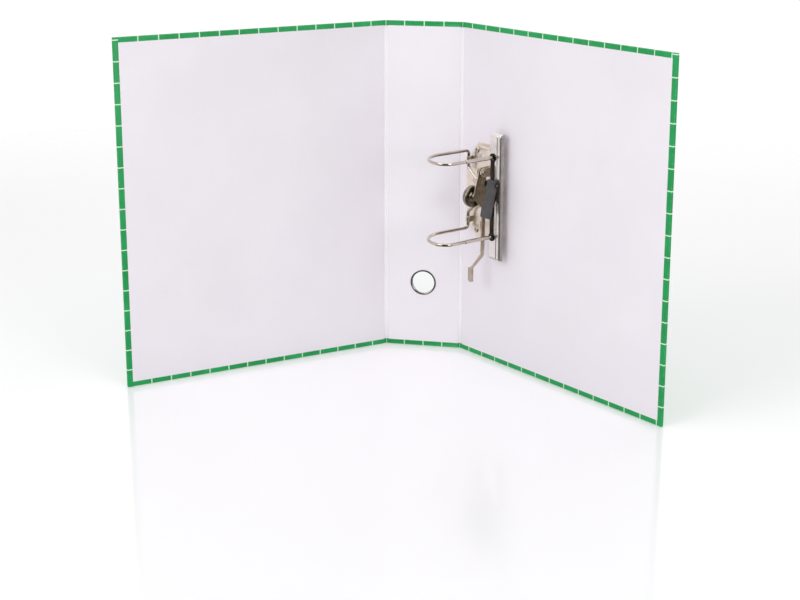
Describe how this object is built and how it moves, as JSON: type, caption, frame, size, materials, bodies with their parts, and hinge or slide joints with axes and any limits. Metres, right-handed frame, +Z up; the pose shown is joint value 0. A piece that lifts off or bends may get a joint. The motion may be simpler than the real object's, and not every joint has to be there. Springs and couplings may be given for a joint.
{
  "type": "lever arch file",
  "caption": "Board lever arch file standing open: hinged covers, spine with metal thumb ring, and a lever-operated two-arch mechanism with a sliding compressor bar.",
  "frame": {"origin": "middle of the spine's bottom edge, at mid-thickness of the spine board", "axes": "+X along the spine's width towards the back cover that carries the mechanism, -Y towards the reader (into the open file), +Z up"},
  "size_m": [0.5152, 0.1884, 0.34],
  "materials": {
    "greyboard": "uncoated grey board",
    "cover_paper": "printed green with a fine pale square grid, light sheen",
    "lining_paper": "smooth near-white lining",
    "hinge_paper": "pressed crease",
    "ring_metal": "polished nickel",
    "nickel_steel": "nickel-plated stamped steel",
    "wire_metal": "bright nickel-plated wire",
    "bar_metal": "zinc-plated folded steel",
    "roller_metal": "dark polished steel",
    "black_plastic": "moulded, fine grain",
    "spring_steel": "blackened spring steel"
  },
  "bodies": {
    "spine": {"spine_board": "greyboard", "spine_cover_paper": "cover_paper", "spine_lining": "lining_paper", "front_hinge_strip": "hinge_paper", "back_hinge_strip": "hinge_paper", "thumb_ring": "ring_metal", "thumb_ring_washer": "ring_metal"},
    "front_cover": {"front_board": "greyboard", "front_cover_paper": "cover_paper", "front_lining": "lining_paper"},
    "back_cover": {"back_board": "greyboard", "back_cover_paper": "cover_paper", "back_lining": "lining_paper", "base_plate": "nickel_steel", "mechanism_rivets": "nickel_steel", "upper_post": "wire_metal", "lower_post": "wire_metal", "arch_spring": "spring_steel", "lever_pin": "nickel_steel"},
    "arches": {"arch_wire": "wire_metal"},
    "lever": {"lever": "nickel_steel", "roller_rivet": "nickel_steel"},
    "roller": {"roller": "roller_metal"},
    "compressor": {"compressor_bar": "bar_metal", "lock_strip": "spring_steel", "latch_pin": "nickel_steel", "latch_spring": "spring_steel"},
    "latch": {"latch": "black_plastic"}
  },
  "joints": [
    {"name": "front_cover_fold", "type": "hinge", "parent": "spine", "child": "front_cover", "pos_m": [-0.04, 0, 0.17], "axis": [0, 0, -1], "range_deg": [-49.5, 40.5], "deforming": ["front_hinge_strip"]},
    {"name": "back_cover_fold", "type": "hinge", "parent": "spine", "child": "back_cover", "pos_m": [0.04, 0, 0.17], "axis": [0, 0, 1], "range_deg": [-49.5, 40.5], "deforming": ["back_hinge_strip"]},
    {"name": "lever_pivot", "type": "hinge", "parent": "back_cover", "child": "lever", "pos_m": [0.06562, -0.03621, 0.19608], "axis": [-0.7604, 0.6494, 0], "range_deg": [0, 85]},
    {"name": "arch_pivot", "type": "hinge", "parent": "back_cover", "child": "arches", "pos_m": [0.04888, -0.01732, 0.17408], "axis": [0, 0, -1], "range_deg": [0, 60], "deforming": ["arch_spring"]},
    {"name": "roller_spin", "type": "hinge", "parent": "lever", "child": "roller", "pos_m": [0.05681, -0.0396, 0.17208], "axis": [0.7604, -0.6494, 0], "continuous": true},
    {"name": "compressor_slide", "type": "slide", "parent": "back_cover", "child": "compressor", "axis": [-0.6494, -0.7604, 0], "range_m": [0, 0.033]},
    {"name": "latch_pivot", "type": "hinge", "parent": "compressor", "child": "latch", "pos_m": [0.07815, -0.05349, 0.18808], "axis": [0.7604, -0.6494, 0], "range_deg": [0, 12], "stiffness_Nm_per_rad": 0.05, "springref_deg": -2.86, "deforming": ["latch_spring"]}
  ],
  "couplings": [
    {"joint": "arch_pivot", "follows": "lever_pivot", "ratio": 0.7}
  ]
}
